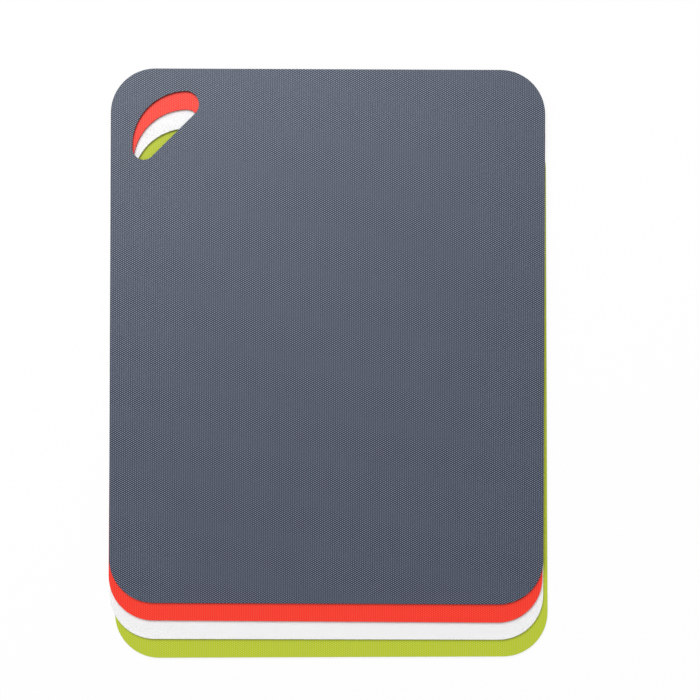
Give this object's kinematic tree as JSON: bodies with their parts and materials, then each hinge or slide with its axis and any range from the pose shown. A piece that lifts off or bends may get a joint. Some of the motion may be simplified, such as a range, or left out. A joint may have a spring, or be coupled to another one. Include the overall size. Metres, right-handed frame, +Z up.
{
  "type": "flexible cutting mat",
  "caption": "Flexible plastic cutting mats with rounded corners and a curved hang hole in one corner, stacked and fanned out; each lifts off the one below.",
  "frame": {"origin": "on the table, under the middle of the fanned stack's outline", "axes": "+X across the mats, to the right with the hang holes at the far left, +Y along the mats towards the hang holes, +Z up out of the cutting face"},
  "size_m": [0.2958, 0.397, 0.0051],
  "materials": {
    "lime_green_plastic": "matte",
    "white_plastic": "matte",
    "red_plastic": "matte",
    "slate_grey_plastic": "matte"
  },
  "bodies": {
    "green_mat": {"green_mat": "lime_green_plastic"},
    "white_mat": {"white_mat": "white_plastic"},
    "red_mat": {"red_mat": "red_plastic"},
    "grey_mat": {"grey_mat": "slate_grey_plastic"}
  },
  "joints": [
    {"name": "white_lift_off", "type": "slide", "parent": "green_mat", "child": "white_mat", "axis": [0, 0, 1], "range_m": [0, 0.12]},
    {"name": "red_lift_off", "type": "slide", "parent": "white_mat", "child": "red_mat", "axis": [0, 0, 1], "range_m": [0, 0.12]},
    {"name": "grey_lift_off", "type": "slide", "parent": "red_mat", "child": "grey_mat", "axis": [0, 0, 1], "range_m": [0, 0.12]}
  ]
}
